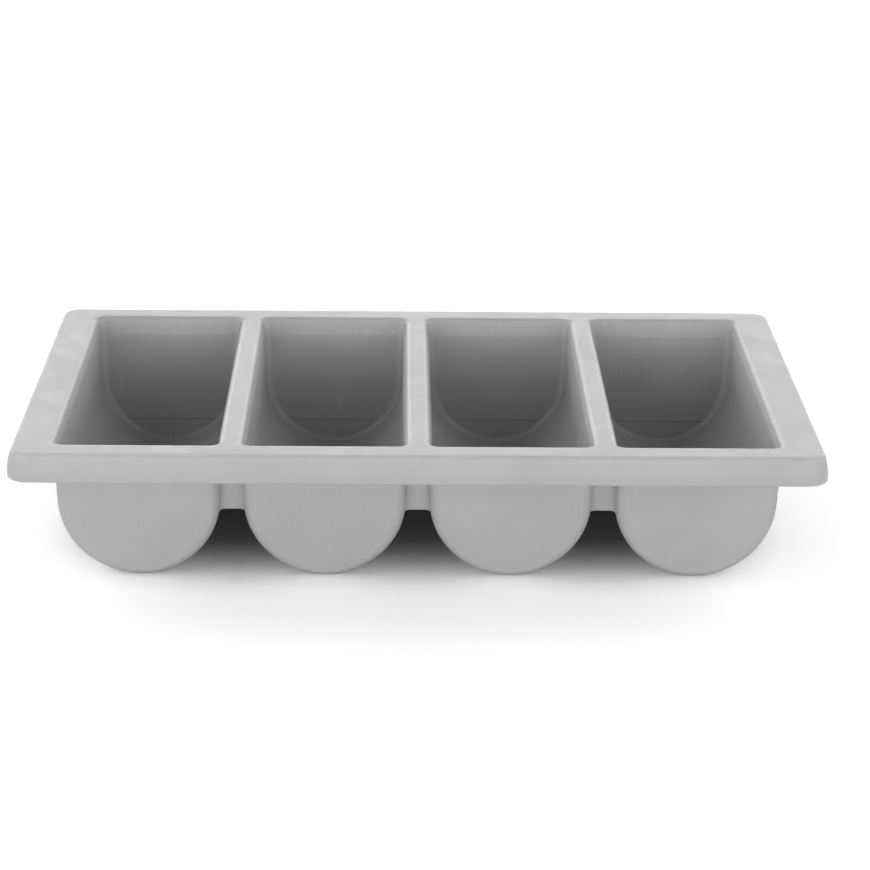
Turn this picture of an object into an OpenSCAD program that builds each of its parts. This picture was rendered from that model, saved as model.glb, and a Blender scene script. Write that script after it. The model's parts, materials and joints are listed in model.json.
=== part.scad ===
// Cutlery tray with four round-bottomed compartments and a broad rim.
// The real tray is one injection moulding in grey polypropylene. Here it is built from its named
// regions, which meet face to face: rim rails, rim corners, dividers, compartments and webs.
// Millimetres, +Z up. The origin is on the ground under the middle of the tray. The front faces -Y.

/* [Tray] */
// Overall length, left to right
tray_length = 530; // [490:1:570]
// Overall depth, front to rear
tray_depth = 325; // [290:1:360]
// Overall height, from the bottoms of the compartments to the rim top
tray_height = 95; // [88:0.5:110]
// Wall thickness of the moulding
wall = 2.5; // [2:0.1:3]

/* [Rim] */
// Height of the rim's outer edge, from the rim top to its lower edge
rim_drop = 18.8; // [15:0.1:24]
// Draft of the rim's outer edge, which spreads downwards, in degrees
skirt_draft = 9; // [4:0.5:14]
// Radius of the crease between the rim's top and its outer edge
crease_r = 2.5; // [1:0.1:4]
// Plan radius of the rim's outer corners
rim_corner_r = 15; // [14:0.5:18]
// Radius that breaks the lower edge of the rim
lower_edge_r = 0.8; // [0.4:0.1:0.9]
// Rim width at the left and right ends, from the outermost face to the mouth
side_land = 28; // [25:0.1:34]
// Rim width at front and rear, from the outermost face to the mouths
end_land = 22.4; // [19:0.1:26]
// Width of the flat land between two mouths
divider_land = 13; // [11:0.1:15]

/* [Mouths] */
// Plan radius of a mouth's corners at the rim top
mouth_corner_r = 8; // [7.5:0.1:10]
// Slope of the lead-in below the mouth's edge, from upright, in degrees
lead_in_angle = 19; // [15:0.5:22]
// Drop of the lead-in at the front and rear of a mouth
lead_in_end_drop = 11.5; // [9:0.1:13]
// Drop of the lead-in along the sides of a mouth
lead_in_side_drop = 7.4; // [5:0.1:9]

/* [Compartments] */
// Draft of a compartment's side walls, in degrees
side_draft = 2; // [1:0.1:3]
// Draft of a compartment's end walls, in degrees
end_draft = 3.3; // [2:0.1:7]
// Outer radius between a compartment's end walls and its trough
trough_edge_r = 10.5; // [7:0.5:12]

/* [Webs] */
// Height of a web's lower edge above the ground
web_low = 44.5; // [42:0.5:56]
// Distance of a web behind the end walls of its compartments
web_recess = 11; // [9:0.5:16]
// Radius of the arch where a web runs down on its compartments
web_arch_r = 4.5; // [3:0.5:6]

/* [Hidden] */
$fn = 64;
moulding_colour = "#b4b4b3";
compartments = 4;
// Steps of the round trough bottom, and of the rounding at its ends
trough_steps = 24;
edge_steps = 5;
// Length by which a cutting shape runs past the face that it cuts
overrun = 1;

// Rim section: its edge runs up and inward from the sharp corner below, which rounding brings to x = 0
deck_low = tray_height - wall;
rim_low = tray_height - rim_drop;
skirt_up = [sin(skirt_draft), cos(skirt_draft)];
skirt_foot = lower_edge_r * (1 - tan(45 + skirt_draft / 2));
skirt_wall = wall / cos(skirt_draft);

// Mouths, spaced evenly between the side lands
mouth_width = (tray_length - 2 * side_land - (compartments - 1) * divider_land) / compartments;
mouth_length = tray_depth - 2 * end_land;
pitch = mouth_width + divider_land;
lead_in_run = tan(lead_in_angle);
lead_in_foot = tray_height - max(lead_in_end_drop, lead_in_side_drop) - wall;

// Rim corners reach to the straight edges of the outermost mouths
corner_length = side_land + mouth_corner_r;
corner_depth = end_land + mouth_corner_r;
rail_length = tray_length - 2 * corner_length;
rail_depth = tray_depth - 2 * corner_depth;

// Trough radius at which the drafted sides meet the foot of the side lead-in
side_foot_z = tray_height - lead_in_side_drop;
side_foot_x = mouth_width / 2 - lead_in_side_drop * lead_in_run;
trough_r = (side_foot_x * cos(side_draft) + wall - side_foot_z * sin(side_draft)) / (1 - sin(side_draft));

// Inner end wall at the foot of the end lead-in
end_foot_z = tray_height - lead_in_end_drop;
end_foot_y = mouth_length / 2 - lead_in_end_drop * lead_in_run;

// Foot of a web's arch, where the neighbouring troughs have drawn apart
web_foot = web_low - web_arch_r;
web_gap = pitch - 2 * sqrt(trough_r * trough_r - (trough_r - web_foot) * (trough_r - web_foot));
// Depth by which the arch's sides run into the compartments, so that no sliver is left beside them
web_arch_bite = 0.4;

// Middle of a compartment along X, and of the divider to its right
function bin_x(index) = (index - (compartments - 1) / 2) * pitch;
function divider_x(index) = bin_x(index) + pitch / 2;

// Half length of a compartment at height z, for a skin that lies inset inside the outer one
function end_y(z, inset) =
    end_foot_y + (z - end_foot_z) * tan(end_draft) + (wall - inset) / cos(end_draft);

// Section of a trough: down the drafted right side, round the bottom and up the left side
function trough_outline(inset, top) =
    let (
        r = trough_r - inset,
        half_top = (r + (top - trough_r) * sin(side_draft)) / cos(side_draft),
        sweep = 180 - 2 * side_draft
    )
    concat(
        [[half_top, top]],
        [for (step = [0:trough_steps])
            let (a = -side_draft - sweep * step / trough_steps)
            [r * cos(a), trough_r + r * sin(a)]],
        [[-half_top, top]]
    );

// One ring of a trough near its front (side -1) or rear (side 1), turned by angle round the end's edge
function trough_ring(side, angle, inset, top) =
    let (edge_r = trough_edge_r - inset)
    [for (p = trough_outline(inset + edge_r * (1 - cos(angle)), top))
        [p.x, side * (end_y(p.y, inset) - edge_r * (1 - sin(angle)) / cos(end_draft)), p.y]];

// Solid of a trough with sloped ends, rounded all along the edges of the ends
module trough(inset, top) {
    angles = [for (step = [0:edge_steps]) 90 * step / edge_steps];
    rings = concat(
        [for (step = [edge_steps:-1:0]) trough_ring(-1, angles[step], inset, top)],
        [for (step = [0:edge_steps]) trough_ring(1, angles[step], inset, top)]
    );
    count = len(rings[0]);
    last = len(rings) - 1;
    skin = [for (row = [0:last - 1], i = [0:count - 1])
        let (next = (i + 1) % count)
        [row * count + i, (row + 1) * count + i, (row + 1) * count + next, row * count + next]];
    front_cap = [for (i = [0:count - 1]) i];
    rear_cap = [for (i = [count - 1:-1:0]) last * count + i];
    polyhedron(points = [for (ring = rings) each ring], faces = concat([front_cap], skin, [rear_cap]));
}

// Lead-in of a mouth between two heights, with coned corners, grown outward by grow
module lead_in(grow, low, high) {
    core_x = mouth_width / 2 - mouth_corner_r;
    core_y = mouth_length / 2 - mouth_corner_r;
    r_low = mouth_corner_r + grow - (tray_height - low) * lead_in_run;
    r_high = mouth_corner_r + grow - (tray_height - high) * lead_in_run;
    for (x = [-core_x, core_x], y = [-core_y, core_y])
        translate([x, y, low])
            cylinder(r1 = r_low, r2 = r_high, h = high - low);
    rotate([90, 0, 0])
        linear_extrude(2 * core_y, center = true)
            sloped_slab(core_x + r_low, core_x + r_high, low, high);
    rotate([90, 0, 90])
        linear_extrude(2 * core_x, center = true)
            sloped_slab(core_y + r_low, core_y + r_high, low, high);
}

module sloped_slab(half_low, half_high, low, high) {
    polygon([[-half_low, low], [half_low, low], [half_high, high], [-half_high, high]]);
}

// Outer solid of a compartment up to a given height
module bin_outside(top) {
    trough(0, top);
    lead_in(wall / cos(lead_in_angle), lead_in_foot, top);
}

// Holes that the mouths make in the deck
module mouths() {
    for (index = [0:compartments - 1])
        translate([bin_x(index), 0, 0])
            lead_in(0, deck_low - overrun, tray_height + overrun);
}

// Distance of the rim's outer skin from its outermost line at height z
function skirt_x(z) = skirt_foot + (z - rim_low) * tan(skirt_draft);

// Area under the rim's skin in section, with x measured inward from the outermost line
module under_rim(set_in, low, high, width) {
    polygon([[skirt_x(low) + set_in, low], [skirt_x(high) + set_in, high], [width, high], [width, low]]);
}

// Cutter that rounds a corner of a section, where edges leave it in the unit directions a and b
module corner_break(corner, a, b, r) {
    spread = acos(a * b) / 2;
    inward = (a + b) / norm(a + b);
    reach = r / tan(spread);
    centre = corner + inward * r / sin(spread);
    difference() {
        polygon([corner + a * reach, centre, corner + b * reach, corner - inward * overrun]);
        translate(centre)
            circle(r = r);
    }
}

// Section of the rim: flat top, rounded crease and outer edge, open below
module rim_section(width) {
    difference() {
        under_rim(0, rim_low, tray_height, width);
        under_rim(skirt_wall, rim_low - overrun, deck_low, width + overrun);
        corner_break([skirt_x(tray_height), tray_height], [1, 0], -skirt_up, crease_r);
        corner_break([skirt_foot, rim_low], [1, 0], skirt_up, lower_edge_r);
        corner_break([skirt_foot + skirt_wall, rim_low], [-1, 0], skirt_up, lower_edge_r);
    }
}

module rail_along_x(length, width) {
    rotate([90, 0, 90])
        linear_extrude(length)
            rim_section(width);
}

module rail_along_y(length, width) {
    translate([0, length, 0])
        rotate([90, 0, 0])
            linear_extrude(length)
                rim_section(width);
}

// Straight rim along the front, with the near ends of the mouths cut into it
module rim_front() {
    color(moulding_colour)
        difference() {
            translate([-rail_length / 2, -tray_depth / 2, 0])
                rail_along_x(rail_length, corner_depth);
            mouths();
        }
}

module rim_rear() {
    mirror([0, 1, 0])
        rim_front();
}

// Straight rim along the left end, beside the outermost mouth
module rim_left() {
    color(moulding_colour)
        difference() {
            translate([-tray_length / 2, -rail_depth / 2, 0])
                rail_along_y(rail_depth, corner_length);
            mouths();
        }
}

module rim_right() {
    mirror([1, 0, 0])
        rim_left();
}

// Corner of the rim at the front left, round outside and hollowed by the corner of the mouth
module rim_corner() {
    color(moulding_colour)
        difference() {
            translate([-tray_length / 2, -tray_depth / 2, 0]) {
                translate([rim_corner_r, rim_corner_r, 0])
                    rotate(180)
                        rotate_extrude(angle = 90)
                            translate([rim_corner_r, 0])
                                mirror([1, 0])
                                    rim_section(rim_corner_r);
                translate([rim_corner_r, 0, 0])
                    rail_along_x(corner_length - rim_corner_r, corner_depth);
                translate([0, rim_corner_r, 0])
                    rail_along_y(corner_depth - rim_corner_r, rim_corner_r);
            }
            mouths();
        }
}

// Flat land between two mouths; its edges follow their lead-ins
module divider(index) {
    half_high = divider_land / 2;
    half_low = half_high + wall * lead_in_run;
    color(moulding_colour)
        translate([divider_x(index), 0, 0])
            rotate([90, 0, 0])
                linear_extrude(rail_depth, center = true)
                    sloped_slab(half_low, half_high, deck_low, tray_height);
}

// Compartment: a round-bottomed trough with sloped ends and a flared mouth
module bin(index) {
    color(moulding_colour)
        translate([bin_x(index), 0, 0])
            difference() {
                bin_outside(deck_low);
                trough(wall, tray_height);
                lead_in(0, lead_in_foot, tray_height);
            }
}

// Opening under a web, with a round arch on both sides
module web_arch() {
    half = web_gap / 2 + web_arch_bite;
    low = web_foot - overrun;
    translate([-half, low])
        square([2 * half, web_low - web_arch_r - low]);
    translate([-half + web_arch_r, low])
        square([2 * (half - web_arch_r), web_low - low]);
    for (x = [-half + web_arch_r, half - web_arch_r])
        translate([x, web_low - web_arch_r])
            circle(r = web_arch_r);
}

// Web that ties two neighbouring compartments together, a little behind their front walls
module web(index) {
    front_low = web_recess - end_y(web_foot, 0);
    front_high = web_recess - end_y(deck_low, 0);
    thickness = wall / cos(end_draft);
    color(moulding_colour)
        translate([divider_x(index), 0, 0])
            difference() {
                rotate([90, 0, 90])
                    linear_extrude(pitch, center = true)
                        polygon([
                            [front_low, web_foot], [front_low + thickness, web_foot],
                            [front_high + thickness, deck_low], [front_high, deck_low]
                        ]);
                for (side = [-1, 1])
                    translate([side * pitch / 2, 0, 0])
                        bin_outside(deck_low + overrun);
                rotate([90, 0, 0])
                    linear_extrude(tray_depth, center = true)
                        web_arch();
            }
}

module web_at_rear(index) {
    mirror([0, 1, 0])
        web(index);
}

rim_front();
rim_rear();
rim_left();
rim_right();
rim_corner();  // corner_front_left
mirror([1, 0, 0]) rim_corner();  // corner_front_right
mirror([0, 1, 0]) rim_corner();  // corner_rear_left
rotate(180) rim_corner();  // corner_rear_right
divider(0);  // divider_left
divider(1);  // divider_middle
divider(2);  // divider_right
bin(0);  // bin_outer_left
bin(1);  // bin_inner_left
bin(2);  // bin_inner_right
bin(3);  // bin_outer_right
web(0);  // web_front_left
web(1);  // web_front_middle
web(2);  // web_front_right
web_at_rear(0);  // web_rear_left
web_at_rear(1);  // web_rear_middle
web_at_rear(2);  // web_rear_right
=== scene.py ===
import json
import math

import bmesh
import bpy
from mathutils import Matrix, Vector

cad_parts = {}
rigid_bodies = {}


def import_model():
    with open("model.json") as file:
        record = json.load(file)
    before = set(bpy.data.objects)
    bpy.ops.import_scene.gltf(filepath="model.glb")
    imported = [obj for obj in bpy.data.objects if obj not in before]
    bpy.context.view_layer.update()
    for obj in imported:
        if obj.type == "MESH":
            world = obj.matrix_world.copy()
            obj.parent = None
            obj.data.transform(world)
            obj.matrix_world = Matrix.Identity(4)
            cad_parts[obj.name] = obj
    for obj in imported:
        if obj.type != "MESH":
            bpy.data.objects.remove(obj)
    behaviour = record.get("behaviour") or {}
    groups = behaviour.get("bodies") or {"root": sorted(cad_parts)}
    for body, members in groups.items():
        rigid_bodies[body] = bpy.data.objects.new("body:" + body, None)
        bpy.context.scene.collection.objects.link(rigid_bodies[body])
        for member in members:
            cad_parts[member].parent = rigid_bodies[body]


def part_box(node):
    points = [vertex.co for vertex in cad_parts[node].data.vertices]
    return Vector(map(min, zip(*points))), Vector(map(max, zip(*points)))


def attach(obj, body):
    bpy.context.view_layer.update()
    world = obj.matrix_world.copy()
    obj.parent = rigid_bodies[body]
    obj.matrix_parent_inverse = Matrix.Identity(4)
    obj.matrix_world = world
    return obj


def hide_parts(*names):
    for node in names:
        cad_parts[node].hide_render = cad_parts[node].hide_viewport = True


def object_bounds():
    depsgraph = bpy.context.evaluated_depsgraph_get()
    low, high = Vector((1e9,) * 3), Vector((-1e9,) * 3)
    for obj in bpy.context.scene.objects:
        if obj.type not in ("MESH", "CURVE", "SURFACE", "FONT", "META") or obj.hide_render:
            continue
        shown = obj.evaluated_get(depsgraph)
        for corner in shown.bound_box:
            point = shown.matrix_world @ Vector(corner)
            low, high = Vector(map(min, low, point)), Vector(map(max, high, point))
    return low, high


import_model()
cad_low, cad_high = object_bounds()

# Rim: the broad flat frame round the four mouths, with a soft crease and a rolled, turned-down edge.
# Light-grey polypropylene, injection moulded in one with the compartments and webs that hang from it.
# The mouths' edges are rounded over and lead down into the compartments.
wall = 0.0025
rim_top = cad_high.z
deck_low = rim_top - wall
rim_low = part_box("rim_front")[0].z
tray_length = cad_high.x - cad_low.x
tray_depth = cad_high.y - cad_low.y
rim_corner_r = 0.015
crease_setback = 0.003
roll_drop = 0.0158
roll_steps = 8
crease_r = 0.002
crease_steps = 5
lip_r = 0.0036
lip_steps = 5
lower_edge_r = 0.0008
lower_edge_steps = 4
flat_margin = 0.004
# Share of wear and painted highlight on the lips and lower edge
lip_wear_and_sheen = 0.15

mouth_corner_r = 0.008
lead_in_angle = math.radians(19)
lead_in_run = math.tan(lead_in_angle)
square = math.pi / 2
corner_steps = 8
corner_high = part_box("corner_front_left")[1]
mouth_left = corner_high.x - mouth_corner_r
mouth_front = corner_high.y - mouth_corner_r
divider_low, divider_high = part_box("divider_left")
divider_x = (divider_low.x + divider_high.x) / 2
divider_land = divider_high.x - divider_low.x - 2 * wall * lead_in_run
mouth_width = divider_x - divider_land / 2 - mouth_left
mouth_length = -2 * mouth_front
pitch = mouth_width + divider_land
bin_names = ["outer_left", "inner_left", "inner_right", "outer_right"]
bin_places = [mouth_left + mouth_width / 2 + index * pitch for index in range(len(bin_names))]

# Points nearer than this count as one place
close = 0.00005
# Least upright part of the normal of a face that counts as level, and most of one that counts as turned
level_tilt = 0.99
turned_tilt = 0.95


def pick(kind, test):
    """In edit mode, selects only the verts, edges or faces that pass the test."""
    bpy.ops.mesh.select_mode(type={"verts": "VERT", "edges": "EDGE", "faces": "FACE"}[kind])
    bpy.ops.mesh.select_all(action="DESELECT")
    mesh = bpy.context.edit_object.data
    shape = bmesh.from_edit_mesh(mesh)
    for part in getattr(shape, kind):
        if test(part):
            part.select_set(True)
    shape.select_flush_mode()
    bmesh.update_edit_mesh(mesh)


def level(edge, height):
    """True where both ends of an edge lie at this height."""
    return all(abs(vert.co.z - height) < close for vert in edge.verts)


def round_edges(radius, corner_angle, steps):
    """Rounds the selected edges, whose faces meet at this angle in the plastic."""
    setback = radius / math.tan(corner_angle / 2)
    bpy.ops.mesh.bevel(offset=setback, segments=steps, profile=0.5, affect="EDGES")


def apply_modifier(piece, kind, **settings):
    """Gives the piece a modifier with these settings and applies it."""
    bpy.ops.object.select_all(action="DESELECT")
    piece.select_set(True)
    bpy.context.view_layer.objects.active = piece
    modifier = piece.modifiers.new(kind.lower(), kind)
    for name, value in settings.items():
        setattr(modifier, name, value)
    bpy.ops.object.modifier_apply(modifier=modifier.name)


def start_piece(name):
    """Names the new primitive and puts its place and size into its mesh."""
    piece = bpy.context.active_object
    piece.name = name
    piece.data.name = name
    bpy.ops.object.transform_apply(location=True, rotation=True, scale=True)
    return piece


def rounded_face(width, depth, radius, centre):
    """In edit mode, adds a level face with rounded corners and leaves it selected."""
    bpy.ops.mesh.select_mode(type="VERT")
    bpy.ops.mesh.select_all(action="DESELECT")
    bpy.ops.mesh.primitive_plane_add(size=1, location=centre)
    bpy.ops.transform.resize(value=(width, depth, 1), center_override=centre)
    bpy.ops.mesh.bevel(offset=radius, segments=corner_steps, profile=0.5, affect="VERTICES")
    bpy.ops.mesh.select_linked()
    bpy.ops.mesh.select_mode(type="FACE")


def inset_face(inward, upward):
    """In edit mode, draws the selected face in and moves it up, with a sloped band left round it."""
    bpy.ops.mesh.inset(thickness=inward, depth=upward, use_boundary=True, use_even_offset=True)


def thicken(piece):
    """Gives the drawn surface one wall's thickness, on its hidden side."""
    apply_modifier(piece, "SOLIDIFY", thickness=wall, offset=-1, use_even_offset=True,
                   use_quality_normals=True)


def smooth_moulding(piece):
    """Shades the rounded edges smooth while the broad faces stay flat."""
    smooth_angle = math.radians(35)
    broad_face_weight = 60
    bpy.ops.object.select_all(action="DESELECT")
    piece.select_set(True)
    bpy.context.view_layer.objects.active = piece
    bpy.ops.object.shade_smooth_by_angle(angle=smooth_angle)
    apply_modifier(piece, "WEIGHTED_NORMAL", mode="FACE_AREA", weight=broad_face_weight, keep_sharp=True)


def mark_faces(piece, mark, test):
    """Stores the test's result for each face as a number, for the material to read."""
    marks = piece.data.attributes.new(mark, "FLOAT", "FACE")
    for face, stored in zip(piece.data.polygons, marks.data):
        stored.value = float(test(face))


def grey_polypropylene():
    """Satin light-grey plastic: faint clouds, fine grain, uneven gloss, rub marks, and worn edges paled
    partly by painted highlight.
    """
    base_greys = (0.42, 0.45)
    cloud_scale = 18
    speckle_scale = 900
    speckle_greys = (-0.012, 0.012)
    # Paler grey of the rubbed edges, partly a painted highlight
    wear_and_sheen_grey = 0.6
    wear_and_sheen_scale = 14
    wear_and_sheen_shares = (0.3, 1)
    rub_grey = 0.53
    scratch_stretch = (420, 420, 16)
    scratch_limits = (0.62, 0.74)
    patch_scale = 24
    patch_limits = (0.45, 0.65)
    # Height, half width and darkening of the line of painted shade on the inner end walls
    mark_height = 0.0182
    mark_half_width = 0.00022
    line_shade_depth = 0.5
    end_wall_facing = 0.9
    roughnesses = (0.34, 0.46)
    gloss_scale = 120
    worn_polish = 0.06
    grain_scale = 1800
    grain_height = 0.0001
    grain_strength = 0.15
    plastic_ior = 1.49
    material = bpy.data.materials.new("grey_polypropylene")
    material.use_nodes = True
    nodes = material.node_tree.nodes
    links = material.node_tree.links
    shader = nodes["Principled BSDF"]
    shader.inputs["IOR"].default_value = plastic_ior
    place = nodes.new("ShaderNodeTexCoord")
    place_parts = nodes.new("ShaderNodeSeparateXYZ")
    links.new(place.outputs["Object"], place_parts.inputs["Vector"])
    facing = nodes.new("ShaderNodeSeparateXYZ")
    links.new(place.outputs["Normal"], facing.inputs["Vector"])

    def noise(scale, detail, stretch=(1, 1, 1)):
        """Noise over the piece, closer along an axis where the stretch is greater."""
        stretched = nodes.new("ShaderNodeVectorMath")
        stretched.operation = "MULTIPLY"
        stretched.inputs[1].default_value = stretch
        links.new(place.outputs["Object"], stretched.inputs[0])
        node = nodes.new("ShaderNodeTexNoise")
        node.inputs["Scale"].default_value = scale
        node.inputs["Detail"].default_value = detail
        links.new(stretched.outputs["Vector"], node.inputs["Vector"])
        return node.outputs["Fac"]

    def spread(value, low, high, start=0.3, end=0.7):
        """Spreads a value's range from start to end over the range from low to high."""
        node = nodes.new("ShaderNodeMapRange")
        node.inputs["From Min"].default_value = start
        node.inputs["From Max"].default_value = end
        node.inputs["To Min"].default_value = low
        node.inputs["To Max"].default_value = high
        links.new(value, node.inputs["Value"])
        return node.outputs["Result"]

    def combine(operation, first, second, third=None):
        """Works one sum on numbers or other nodes' values."""
        node = nodes.new("ShaderNodeMath")
        node.operation = operation
        for socket, value in zip(node.inputs, (first, second, third)):
            if isinstance(value, (int, float)):
                socket.default_value = value
            elif value is not None:
                links.new(value, socket)
        return node.outputs["Value"]

    def stored(mark):
        """A mark that the faces carry, 0 on pieces without it."""
        node = nodes.new("ShaderNodeAttribute")
        node.attribute_name = mark
        return node.outputs["Fac"]

    # Base grey with clouds and a fine speckle
    speckle = spread(noise(speckle_scale, 2), *speckle_greys)
    grey = combine("ADD", spread(noise(cloud_scale, 3), *base_greys), speckle)
    # Edges are rubbed smoother in patches and paler there: partly wear, partly a painted highlight that
    # also lifts the shade of the outer crease
    wear_and_sheen = combine("MULTIPLY", stored("wear_and_sheen"), spread(noise(wear_and_sheen_scale, 4), *wear_and_sheen_shares))
    grey = combine("ADD", grey, combine("MULTIPLY", wear_and_sheen, wear_and_sheen_grey - base_greys[1]))
    # Cutlery has left short upright scratches on the compartments' inner walls
    inside = stored("inside")
    scratches = spread(noise(1, 3, scratch_stretch), 0, 1, *scratch_limits)
    patches = spread(noise(patch_scale, 2), 0, 1, *patch_limits)
    rubbed = combine("MULTIPLY", combine("MULTIPLY", scratches, patches), inside)
    grey = combine("ADD", grey, combine("MULTIPLY", rubbed, rub_grey - base_greys[0]))
    # A fine level line of painted shade runs across each inner end wall, where a small mould step would
    # throw it
    end_wall = combine("GREATER_THAN", combine("ABSOLUTE", facing.outputs["Y"], 0), end_wall_facing)
    on_line = combine("COMPARE", place_parts.outputs["Z"], mark_height, mark_half_width)
    line = combine("MULTIPLY", combine("MULTIPLY", on_line, end_wall), inside)
    grey = combine("MULTIPLY", grey, combine("SUBTRACT", 1, combine("MULTIPLY", line, line_shade_depth)))
    colour = nodes.new("ShaderNodeCombineColor")
    for channel in ("Red", "Green", "Blue"):
        links.new(grey, colour.inputs[channel])
    links.new(colour.outputs["Color"], shader.inputs["Base Color"])

    rough = spread(noise(gloss_scale, 4), *roughnesses)
    polished = combine("SUBTRACT", rough, combine("MULTIPLY", wear_and_sheen, worn_polish))
    links.new(polished, shader.inputs["Roughness"])
    grain = nodes.new("ShaderNodeBump")
    grain.inputs["Strength"].default_value = grain_strength
    grain.inputs["Distance"].default_value = grain_height
    links.new(noise(grain_scale, 2), grain.inputs["Height"])
    links.new(grain.outputs["Normal"], shader.inputs["Normal"])
    return material


moulding = grey_polypropylene()

bpy.ops.object.select_all(action="DESELECT")
bpy.ops.mesh.primitive_plane_add(size=1, location=(0, 0, rim_low))
rim = start_piece("rim")
bpy.ops.object.mode_set(mode="EDIT")
bpy.ops.mesh.select_all(action="SELECT")
bpy.ops.mesh.delete(type="VERT")
rounded_face(tray_length, tray_depth, rim_corner_r, (0, 0, rim_low))
inset_face(0, rim_top - roll_drop - rim_low)
# The rolled edge is an arc that leaves the upright foot smoothly and meets the flat top in the crease
roll_r = (crease_setback ** 2 + roll_drop ** 2) / (2 * crease_setback)
roll_angle = math.asin(roll_drop / roll_r)
for step in range(roll_steps):
    before = roll_angle * step / roll_steps
    after = roll_angle * (step + 1) / roll_steps
    inward = roll_r * (math.cos(before) - math.cos(after))
    upward = roll_r * (math.sin(after) - math.sin(before))
    inset_face(inward, upward)
inset_face(flat_margin, 0)
bpy.ops.mesh.delete(type="FACE")

for x in bin_places:
    rounded_face(mouth_width + 2 * flat_margin, mouth_length + 2 * flat_margin,
                 mouth_corner_r + flat_margin, (x, 0, rim_top))
    inset_face(flat_margin, 0)
    inset_face(wall * lead_in_run, -wall)
    bpy.ops.mesh.delete(type="FACE")

pick("edges", lambda edge: edge.is_boundary and level(edge, rim_top))
bpy.ops.mesh.fill(use_beauty=True)
bpy.ops.mesh.select_all(action="SELECT")
bpy.ops.mesh.normals_make_consistent(inside=False)
bpy.ops.object.mode_set(mode="OBJECT")
thicken(rim)
bpy.ops.object.mode_set(mode="EDIT")


def at_flat_top(edge):
    """True on an edge where the flat top turns down."""
    tilts = [face.normal.z for face in edge.link_faces]
    return level(edge, rim_top) and max(tilts) > level_tilt and min(tilts) < turned_tilt


def at_mouth(edge):
    """True on a turned edge of the flat top that borders a mouth."""
    middle = (edge.verts[0].co + edge.verts[1].co) / 2
    within_length = abs(middle.x) < -mouth_left + flat_margin / 2
    return at_flat_top(edge) and within_length and abs(middle.y) < -mouth_front + flat_margin / 2


def at_lower_edge(edge):
    """True on an edge of the rim's narrow lower face."""
    tilts = [abs(face.normal.z) for face in edge.link_faces]
    return level(edge, rim_low) and max(tilts) > level_tilt and min(tilts) < turned_tilt


pick("edges", at_mouth)
round_edges(lip_r, square + lead_in_angle, lip_steps)
pick("edges", lambda edge: at_flat_top(edge) and not at_mouth(edge))
round_edges(crease_r, square + roll_angle, crease_steps)
pick("edges", at_lower_edge)
round_edges(lower_edge_r, square, lower_edge_steps)
bpy.ops.object.mode_set(mode="OBJECT")
smooth_moulding(rim)


def rim_wear_and_sheen(face):
    """Share of wear and painted highlight on a face of the rim: full on top of the outer crease, slight
    on the lips and lower edge.
    """
    least_tilt, crease_tilt, most_tilt = 0.1, 0.5, 0.98
    bent = least_tilt < abs(face.normal.z) < most_tilt
    if not bent or rim_low + lower_edge_r < face.center.z < rim_top - lip_r:
        return 0
    from_edge = min(tray_length / 2 - abs(face.center.x), tray_depth / 2 - abs(face.center.y))
    on_crease = face.normal.z > crease_tilt and from_edge < crease_setback + flat_margin
    return 1 if on_crease else lip_wear_and_sheen


# The rim's faces carry their share of wear and painted highlight for the material
mark_faces(rim, "wear_and_sheen", rim_wear_and_sheen)
rim.data.materials.append(moulding)
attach(rim, "root")
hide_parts("rim_front", "rim_rear", "rim_left", "rim_right",
            "corner_front_left", "corner_front_right", "corner_rear_left", "corner_rear_right",
            "divider_left", "divider_middle", "divider_right")

# Compartments: four round-bottomed troughs with sloped ends, open at the top for the cutlery.
# The same grey plastic, one even wall thick, drafted so that the moulding leaves its tool.
# Each hangs from the edge of its mouth, and the lead-in bends out to meet it.
side_draft = math.radians(2)
end_draft = math.radians(4.3)
lead_in_end_drop = 0.0115
lead_in_side_drop = 0.0074
trough_sides = 128
end_corner_r = 0.005
end_foot_r = 0.0025
bend_round = 0.0012
bend_steps = 3
end_facing = 0.9

end_foot = rim_top - lead_in_end_drop
side_foot = rim_top - lead_in_side_drop
end_foot_y = mouth_length / 2 - (rim_top - end_foot) * lead_in_run
side_foot_x = mouth_width / 2 - (rim_top - side_foot) * lead_in_run
# Radius of the round bottom that stands on the ground and whose tangent sides reach the lead-in
side_lean = math.sin(side_draft)
trough_r = (side_foot_x * math.cos(side_draft) + wall - side_foot * side_lean) / (1 - side_lean)
inner_r = trough_r - wall
tangent_z = trough_r - inner_r * side_lean
wall_rise = end_foot - tangent_z

first_x = bin_places[0]
bpy.ops.object.select_all(action="DESELECT")
bpy.ops.mesh.primitive_cylinder_add(vertices=trough_sides, radius=inner_r, depth=2 * tray_depth,
                                    end_fill_type="NOTHING", location=(first_x, 0, trough_r),
                                    rotation=(math.pi / 2, 0, 0))
first_bin = start_piece("compartment_" + bin_names[0])
bpy.ops.object.mode_set(mode="EDIT")
bpy.ops.mesh.select_all(action="SELECT")
bpy.ops.mesh.bisect(plane_co=(first_x, 0, tangent_z), plane_no=(0, 0, 1), clear_outer=True)
for side in (-1, 1):
    pick("edges", lambda edge: level(edge, tangent_z) and edge.verts[0].co.x * side > first_x * side)
    lean = side * wall_rise * math.tan(side_draft)
    bpy.ops.mesh.extrude_region_move(TRANSFORM_OT_translate={"value": (lean, 0, wall_rise)})
pick("edges", lambda edge: level(edge, end_foot))
bpy.ops.mesh.edge_face_add()
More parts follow.
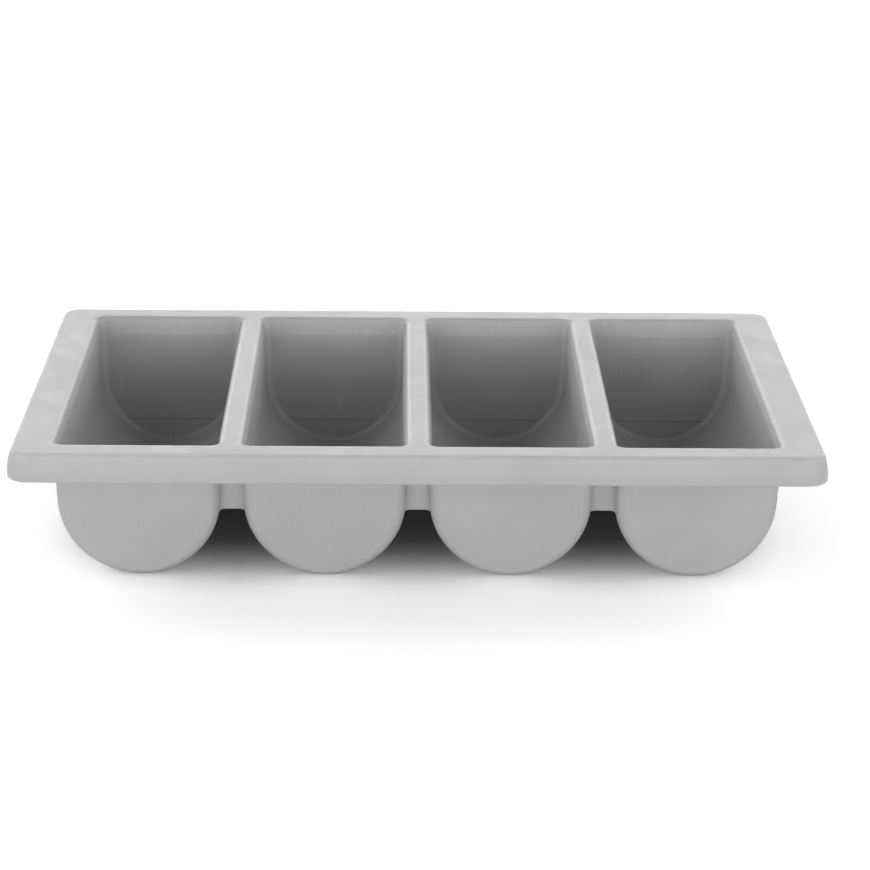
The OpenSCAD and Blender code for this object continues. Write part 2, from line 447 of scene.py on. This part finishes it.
# Both ends are cut off short of the end walls, then built on in steps that round their edges.
# The rounding is widest in the upright corners and narrows towards the bottom.
end_cut_y = end_foot_y - end_corner_r / math.cos(end_draft)
half_width = (inner_r + (end_foot - trough_r) * side_lean) / math.cos(side_draft)
end_depth = end_foot - wall
for side in (-1, 1):
    bpy.ops.mesh.select_all(action="SELECT")
    bpy.ops.mesh.bisect(plane_co=(first_x, side * end_cut_y, end_foot),
                        plane_no=(0, side * math.cos(end_draft), -math.sin(end_draft)),
                        clear_outer=True, use_fill=True)
    pick("faces", lambda face: abs(face.normal.y) > end_facing and face.calc_center_median().y * side > 0)
    for step in range(corner_steps):
        before = square * step / corner_steps
        after = square * (step + 1) / corner_steps
        outward = (end_foot_y - end_cut_y) * (math.sin(after) - math.sin(before))
        narrow, shorten = [(1 - reach * (1 - math.cos(after))) / (1 - reach * (1 - math.cos(before)))
                           for reach in (end_corner_r / half_width, end_foot_r / end_depth)]
        bpy.ops.mesh.extrude_region_move(TRANSFORM_OT_translate={"value": (0, side * outward, 0)})
        bpy.ops.transform.resize(value=(narrow, 1, shorten), center_override=(first_x, 0, end_foot))
pick("faces", lambda face: face.calc_center_median().z > end_foot - close)
bpy.ops.mesh.delete(type="FACE")

bend = side_foot - end_foot
widen_x = 1 + bend * math.tan(side_draft) / (side_foot_x - bend * math.tan(side_draft))
widen_y = 1 + bend * lead_in_run / end_foot_y
pick("edges", lambda edge: edge.is_boundary)
bpy.ops.mesh.extrude_region_move(TRANSFORM_OT_translate={"value": (0, 0, bend)})
bpy.ops.transform.resize(value=(widen_x, widen_y, 1), center_override=(first_x, 0, side_foot))

seam_inset = wall * lead_in_run
rounded_face(mouth_width - 2 * seam_inset, mouth_length - 2 * seam_inset,
             mouth_corner_r - seam_inset, (first_x, 0, deck_low))
bpy.ops.mesh.delete(type="ONLY_FACE")
pick("edges", lambda edge: level(edge, deck_low) or level(edge, side_foot) and edge.is_boundary)
bpy.ops.mesh.bridge_edge_loops()
pick("edges", lambda edge: level(edge, end_foot) or level(edge, side_foot))
bpy.ops.mesh.bevel(offset=bend_round, segments=bend_steps, profile=0.5, affect="EDGES")
bpy.ops.mesh.select_all(action="SELECT")
bpy.ops.mesh.normals_make_consistent(inside=True)
bpy.ops.object.mode_set(mode="OBJECT")
thicken(first_bin)
smooth_moulding(first_bin)
trough_middle = Vector((first_x, 0, trough_r))
mark_faces(first_bin, "inside", lambda face: face.normal.dot(trough_middle - face.center) > 0)
first_bin.data.materials.append(moulding)


def copy_piece(piece, name, turn):
    """Copies a piece with a mesh of its own, turned or moved by the matrix."""
    copy = piece.copy()
    copy.data = piece.data.copy()
    copy.name = name
    copy.data.name = name
    copy.data.transform(turn)
    bpy.context.collection.objects.link(copy)
    return copy


for place, x in zip(bin_names, bin_places):
    name = "compartment_" + place
    compartment = first_bin
    if x != first_x:
        compartment = copy_piece(first_bin, name, Matrix.Translation((x - first_x, 0, 0)))
    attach(compartment, "root")
    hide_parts("bin_" + place)

# Webs: six small arched plates that tie neighbouring compartments together at front and rear.
# The same grey plastic, moulded in one with the walls on both sides, and a little behind the end walls.
# Their sides run into the compartments' walls, and their lower edge is an arch with a rounded brim.
web_names = ["left", "middle", "right"]
web_low = 0.0445
web_recess = 0.011
web_arch_r = 0.0045
web_arch_steps = 8
web_brim_round = 0.0008
web_brim_steps = 3
# The legs on both sides of the arch reach just below its rounding
web_leg = web_arch_r * 1.02
# Depths to which a web's sides, top and arch are sunk into the walls and the deck, out of sight
web_sink = 0.0015
web_top_sink = 0.0005
arch_bite = 0.0001

outer_end_y = end_foot_y + wall / math.cos(end_draft) - (end_foot - web_low) * math.tan(end_draft)
web_y = web_recess - outer_end_y
web_rise = (deck_low - web_low) / math.cos(end_draft) + web_top_sink


def half_gap(height):
    """Half the space between two neighbouring compartments' outer walls at this height."""
    if height < trough_r:
        return pitch / 2 - math.sqrt(trough_r ** 2 - (trough_r - height) ** 2)
    return pitch / 2 - (trough_r + (height - trough_r) * side_lean) / math.cos(side_draft)


arch_half = half_gap(web_low - web_arch_r) + arch_bite
foot_half = half_gap(web_low - web_leg) + web_sink
top_half = half_gap(deck_low)
bpy.ops.object.select_all(action="DESELECT")
bpy.ops.mesh.primitive_plane_add(size=1, location=(divider_x, web_y, web_low + web_rise / 2),
                                 rotation=(math.pi / 2, 0, 0))
bpy.context.active_object.scale = (2 * foot_half, web_rise, 1)
first_web = start_piece("web_plate_front_left")
bpy.ops.object.mode_set(mode="EDIT")
for side in (-1, 1):
    bpy.ops.mesh.select_all(action="SELECT")
    bpy.ops.mesh.bisect(plane_co=(divider_x + side * arch_half, web_y, web_low), plane_no=(1, 0, 0))
pick("edges", lambda edge: level(edge, web_low)
     and abs((edge.verts[0].co.x + edge.verts[1].co.x) / 2 - divider_x) > arch_half)
bpy.ops.mesh.extrude_region_move(TRANSFORM_OT_translate={"value": (0, 0, -web_leg)})
bpy.ops.mesh.select_all(action="SELECT")
bpy.ops.mesh.dissolve_limited(angle_limit=math.radians(1))
pick("verts", lambda vert: abs(vert.co.z - web_low) < close
     and abs(abs(vert.co.x - divider_x) - arch_half) < close)
bpy.ops.mesh.bevel(offset=web_arch_r, segments=web_arch_steps, profile=0.5, affect="VERTICES")
pick("verts", lambda vert: vert.co.z > deck_low)
top_narrowing = top_half / foot_half
bpy.ops.transform.resize(value=(top_narrowing, 1, 1), center_override=(divider_x, web_y, deck_low))
bpy.ops.mesh.select_all(action="SELECT")
bpy.ops.transform.rotate(value=-end_draft, orient_axis="X", center_override=(divider_x, web_y, web_low))
bpy.ops.object.mode_set(mode="OBJECT")
apply_modifier(first_web, "SOLIDIFY", thickness=wall, offset=-1, use_even_offset=True)
bpy.ops.object.mode_set(mode="EDIT")


def on_brim(edge):
    """True on the front and back edges of a web's arch."""
    across = abs((edge.verts[0].co - edge.verts[1].co).y) > wall / 2
    within = all(abs(vert.co.x - divider_x) < arch_half + close for vert in edge.verts)
    return within and not across and max(vert.co.z for vert in edge.verts) < web_low + wall


pick("edges", on_brim)
bpy.ops.mesh.bevel(offset=web_brim_round, segments=web_brim_steps, profile=0.5, affect="EDGES")
bpy.ops.object.mode_set(mode="OBJECT")
smooth_moulding(first_web)
first_web.data.materials.append(moulding)

for index, place in enumerate(web_names):
    for end, half_turn in (("front", 0), ("rear", math.pi)):
        name = "web_plate_" + end + "_" + place
        to_middle = Matrix.Translation((-divider_x, 0, 0))
        to_end = Matrix.Rotation(half_turn, 4, "Z")
        to_gap = Matrix.Translation((divider_x + index * pitch, 0, 0))
        web = first_web
        if name != first_web.name:
            web = copy_piece(first_web, name, to_gap @ to_end @ to_middle)
        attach(web, "root")
        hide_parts("web_" + end + "_" + place)

# Floor: a plain pale paper sweep that the tray stands on.
# Seen by the camera it keeps the tray's soft shadow, carries a painted shadow under and round the tray,
# and runs out to white away from it.
floor_size = 16
floor_grey = 0.97
paper_roughness = 0.9
# Floor colour the camera sees under the tray: a painted shadow
shade_level = 0.40
white_level = 1.68
shade_margin = 0.085
rim_overhang = 0.02
white_distance = 0.085
bpy.ops.object.select_all(action="DESELECT")
bpy.ops.mesh.primitive_plane_add(size=floor_size, location=(0, 0, 0))
floor = start_piece("floor")
paper = bpy.data.materials.new("white_paper")
paper.use_nodes = True
paper_nodes = paper.node_tree.nodes
paper_links = paper.node_tree.links
paper_shader = paper_nodes["Principled BSDF"]
paper_shader.inputs["Roughness"].default_value = paper_roughness
paper_shader.inputs["Specular IOR Level"].default_value = 0


def vector_math(operation, vector, other=None):
    """Adds a vector step to the paper's material and returns its node."""
    node = paper_nodes.new("ShaderNodeVectorMath")
    node.operation = operation
    paper_links.new(vector, node.inputs[0])
    if other is not None:
        node.inputs[1].default_value = other
    return node


paper_place = paper_nodes.new("ShaderNodeTexCoord")
either_side = vector_math("ABSOLUTE", paper_place.outputs["Object"])
shaded_half = (tray_length / 2 - shade_margin, tray_depth / 2 - shade_margin - rim_overhang, 0)
past_tray = vector_math("SUBTRACT", either_side.outputs["Vector"], shaded_half)
outside = vector_math("MAXIMUM", past_tray.outputs["Vector"], (0, 0, 0))
distance = vector_math("LENGTH", outside.outputs["Vector"])
# The camera's floor colour: painted shadow near the tray, rising to white further out
whitening = paper_nodes.new("ShaderNodeMapRange")
whitening.interpolation_type = "SMOOTHSTEP"
whitening.inputs["From Max"].default_value = white_distance
whitening.inputs["To Min"].default_value = shade_level
whitening.inputs["To Max"].default_value = white_level
paper_links.new(distance.outputs["Value"], whitening.inputs["Value"])
paper_path = paper_nodes.new("ShaderNodeLightPath")
paper_colour = paper_nodes.new("ShaderNodeMix")
paper_colour.data_type = "RGBA"
paper_colour.inputs["A"].default_value = (floor_grey, floor_grey, floor_grey, 1)
paper_links.new(paper_path.outputs["Is Camera Ray"], paper_colour.inputs["Factor"])
paper_links.new(whitening.outputs["Result"], paper_colour.inputs["B"])
paper_links.new(paper_colour.outputs["Result"], paper_shader.inputs["Base Color"])
floor.data.materials.append(paper)

# Light: a white studio with bright walls and a dim ceiling, and dark above the low front light,
# where the camera stands. The left wall is a little brighter. The camera sees it all as plain white.
sky_strength = 4.0
# Brightness by height, from level (0) to straight up (1), in front of the tray and round the rest of it
front_sky = {0.0: 1.0, 0.17: 1.0, 0.25: 0.2, 0.38: 0.01, 1.0: 0.02}
wall_sky = {0.0: 0.52, 0.35: 0.5, 0.55: 0.25, 0.75: 0.13, 0.9: 0.04, 1.0: 0.02}
# Gain round the compass, from straight behind the tray (0) to straight in front of it (1)
round_sky = {0.0: 1.48, 0.35: 1.1, 0.5: 0.4, 0.72: 0.92, 0.9: 1.24, 1.0: 1.24}
# Cosines of the bearings between which the wall gives way to the front
front_edge = (math.cos(math.radians(58)), math.cos(math.radians(30)))
left_wall_gain = 1.0
right_wall_gain = 0.8
world = bpy.data.worlds.new("studio")
bpy.context.scene.world = world
world.use_nodes = True
sky_nodes = world.node_tree.nodes
sky_links = world.node_tree.links
direction = sky_nodes.new("ShaderNodeTexCoord")
direction_parts = sky_nodes.new("ShaderNodeSeparateXYZ")
sky_links.new(direction.outputs["Generated"], direction_parts.inputs["Vector"])


def sky_level(place, stops):
    """Brightness of the studio for a place from 0 to 1, given at a few stops."""
    ramp = sky_nodes.new("ShaderNodeValToRGB")
    elements = ramp.color_ramp.elements
    while len(elements) < len(stops):
        elements.new(0.5)
    for element, (stop, level_there) in zip(elements, stops.items()):
        element.position = stop
        element.color = (level_there, level_there, level_there, 1)
    sky_links.new(place, ramp.inputs["Fac"])
    return ramp.outputs["Color"]


flat_direction = sky_nodes.new("ShaderNodeVectorMath")
flat_direction.operation = "MULTIPLY"
flat_direction.inputs[1].default_value = (1, 1, 0)
sky_links.new(direction.outputs["Generated"], flat_direction.inputs[0])
compass = sky_nodes.new("ShaderNodeVectorMath")
compass.operation = "NORMALIZE"
sky_links.new(flat_direction.outputs["Vector"], compass.inputs[0])
frontness = sky_nodes.new("ShaderNodeVectorMath")
frontness.operation = "DOT_PRODUCT"
frontness.inputs[1].default_value = (0, -1, 0)
sky_links.new(compass.outputs["Vector"], frontness.inputs[0])
in_front = sky_nodes.new("ShaderNodeMapRange")
in_front.interpolation_type = "SMOOTHSTEP"
in_front.inputs["From Min"].default_value = front_edge[0]
in_front.inputs["From Max"].default_value = front_edge[1]
sky_links.new(frontness.outputs["Value"], in_front.inputs["Value"])
sky_colour = sky_nodes.new("ShaderNodeMix")
sky_colour.data_type = "RGBA"
sky_links.new(in_front.outputs["Result"], sky_colour.inputs["Factor"])
height = direction_parts.outputs["Z"]
sky_links.new(sky_level(height, wall_sky), sky_colour.inputs["A"])
sky_links.new(sky_level(height, front_sky), sky_colour.inputs["B"])
sky_links.new(sky_colour.outputs["Result"], sky_nodes["Background"].inputs["Color"])
side_gain = sky_nodes.new("ShaderNodeMapRange")
side_gain.inputs["From Min"].default_value = -1
side_gain.inputs["From Max"].default_value = 1
side_gain.inputs["To Min"].default_value = left_wall_gain * sky_strength
side_gain.inputs["To Max"].default_value = right_wall_gain * sky_strength
sky_links.new(direction_parts.outputs["X"], side_gain.inputs["Value"])
round_place = sky_nodes.new("ShaderNodeMapRange")
round_place.inputs["From Min"].default_value = -1
round_place.inputs["From Max"].default_value = 1
sky_links.new(frontness.outputs["Value"], round_place.inputs["Value"])
sky_gain = sky_nodes.new("ShaderNodeMath")
sky_gain.operation = "MULTIPLY"
sky_links.new(side_gain.outputs["Result"], sky_gain.inputs[0])
sky_links.new(sky_level(round_place.outputs["Result"], round_sky), sky_gain.inputs[1])
sky_links.new(sky_gain.outputs["Value"], sky_nodes["Background"].inputs["Strength"])

seen_sky = sky_nodes.new("ShaderNodeBackground")
seen_sky.inputs["Color"].default_value = (1, 1, 1, 1)
seen_sky.inputs["Strength"].default_value = 1
sky_path = sky_nodes.new("ShaderNodeLightPath")
sky_mix = sky_nodes.new("ShaderNodeMixShader")
sky_links.new(sky_path.outputs["Is Camera Ray"], sky_mix.inputs["Fac"])
sky_links.new(sky_nodes["Background"].outputs["Background"], sky_mix.inputs[1])
sky_links.new(seen_sky.outputs["Background"], sky_mix.inputs[2])
sky_links.new(sky_mix.outputs["Shader"], sky_nodes["World Output"].inputs["Surface"])

# Soft boxes: three square lamps in front of the tray, left, right and overhead, aimed at its middle.
softbox_size = 0.5
softbox_places = {"left": (-0.8, -0.35, 0.95), "right": (0.8, -0.35, 0.95), "overhead": (0, -0.45, 1.35)}
softbox_watts = {"left": 1.0, "right": 1.2, "overhead": 0.6}
for side, place in softbox_places.items():
    softbox = bpy.data.lights.new("softbox_" + side, "AREA")
    softbox.size = softbox_size
    softbox.energy = softbox_watts[side]
    softbox_object = bpy.data.objects.new("softbox_" + side, softbox)
    aim = (Vector((0, 0, rim_top)) - Vector(place)).to_track_quat("-Z", "Y")
    softbox_object.matrix_world = Matrix.Translation(place) @ aim.to_matrix().to_4x4()
    softbox_object.visible_camera = False
    bpy.context.collection.objects.link(softbox_object)

# Camera: the photograph's view, from the front, a little above and almost square on.
camera_place = Vector((-0.014035, -1.77773, rim_top + 0.587849))
pitch_down = math.radians(19.5147)
yaw_right = math.radians(0.8638)
roll = math.radians(-0.6108)
image_width = 870
focal_pixels = 2692
camera = bpy.data.cameras.new("camera")
camera.sensor_width = 36
camera.lens = focal_pixels / image_width * camera.sensor_width
camera_object = bpy.data.objects.new("camera", camera)
ahead = Vector((math.sin(yaw_right) * math.cos(pitch_down), math.cos(yaw_right) * math.cos(pitch_down),
                -math.sin(pitch_down)))
level_right = Vector((math.cos(yaw_right), -math.sin(yaw_right), 0))
level_up = level_right.cross(ahead)
right = level_right * math.cos(roll) - level_up * math.sin(roll)
up = level_right * math.sin(roll) + level_up * math.cos(roll)
turn = Matrix((right, up, -ahead)).transposed()
camera_object.matrix_world = Matrix.Translation(camera_place) @ turn.to_4x4()
bpy.context.collection.objects.link(camera_object)
bpy.context.scene.camera = camera_object
bpy.context.scene.view_settings.view_transform = "Standard"
